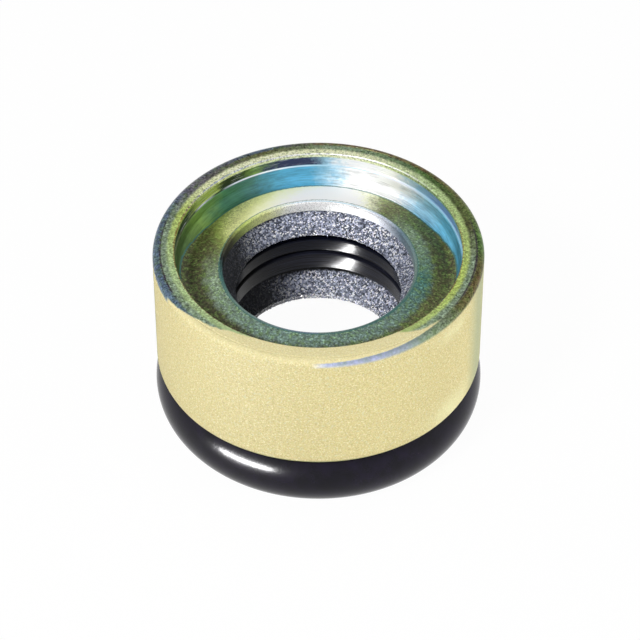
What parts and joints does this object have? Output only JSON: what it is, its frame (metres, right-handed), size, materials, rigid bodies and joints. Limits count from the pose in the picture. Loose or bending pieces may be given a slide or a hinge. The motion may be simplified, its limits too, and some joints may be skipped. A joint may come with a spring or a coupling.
{
  "type": "shaft seal",
  "caption": "Cased double-lip rotary shaft seal: drawn steel case with rolled rim and dished retainer, speckled rubber lips on polished spacer rings, and a fat rubber foot ring.",
  "frame": {"origin": "centre of the surface that the foot ring stands on, on the shaft's axis", "axes": "+Z along the shaft's axis, from the rubber foot ring of the pressure side towards the dished rim of the air side; X and Y are alike, because every piece is round"},
  "size_m": [0.0314, 0.0314, 0.0189],
  "materials": {
    "case_plating": "satin, pale yellow zinc plating with a faint grain",
    "retainer_plating": "semi-gloss, iridescent green and blue zinc plating",
    "lip_rubber": "speckled moulded rubber with a sparkling mineral filler",
    "spacer_black": "polished black",
    "washer_steel": "dark satin",
    "gasket_rubber": "matt moulded rubber",
    "ring_rubber": "glossy moulded rubber"
  },
  "bodies": {
    "root": {"outer_case": "case_plating", "front_retainer": "retainer_plating", "air_lip": "lip_rubber", "upper_spacer": "spacer_black", "dividing_washer": "washer_steel", "lower_spacer": "spacer_black", "main_lip": "lip_rubber", "clamp_washer": "washer_steel", "gasket_sleeve": "gasket_rubber", "foot_ring": "ring_rubber"}
  },
  "joints": []
}
